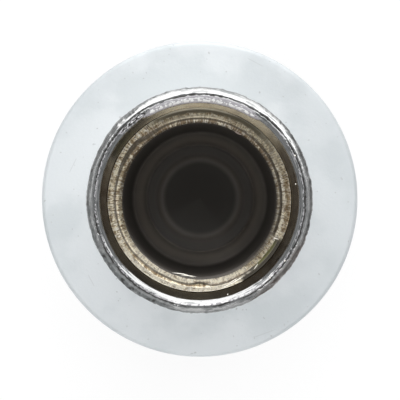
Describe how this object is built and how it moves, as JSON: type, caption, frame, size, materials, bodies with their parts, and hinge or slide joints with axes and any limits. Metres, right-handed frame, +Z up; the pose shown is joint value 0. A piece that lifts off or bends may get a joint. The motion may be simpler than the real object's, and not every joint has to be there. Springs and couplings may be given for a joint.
{
  "type": "lug nut",
  "caption": "Closed-end shank lug nut: a plated steel hexagon with a domed crown, a smooth pilot shank with a threaded blind bore, and a flat washer that turns freely on the shank.",
  "frame": {"origin": "centre of the flat crown face that the nut stands on", "axes": "+Z up along the thread axis, out of the shank's mouth; +X through two corners of the hexagon; +Y square to two of its flats"},
  "size_m": [0.028, 0.028, 0.044],
  "materials": {
    "plated_steel": "bright decorative chrome outside, worn and rough round the shank's mouth, thinning to yellowish nickel on the first thread and to bare dark steel down the bore",
    "zinc_steel": "clear zinc plate, matt, pale bluish grey with faint cloudy marks, specks and scratches"
  },
  "bodies": {
    "nut": {"nut_body": "plated_steel"},
    "washer": {"captive_washer": "zinc_steel"}
  },
  "joints": [
    {"name": "washer_spin", "type": "hinge", "parent": "nut", "child": "washer", "pos_m": [0, 0, 0.0293], "axis": [0, 0, 1], "continuous": true}
  ]
}
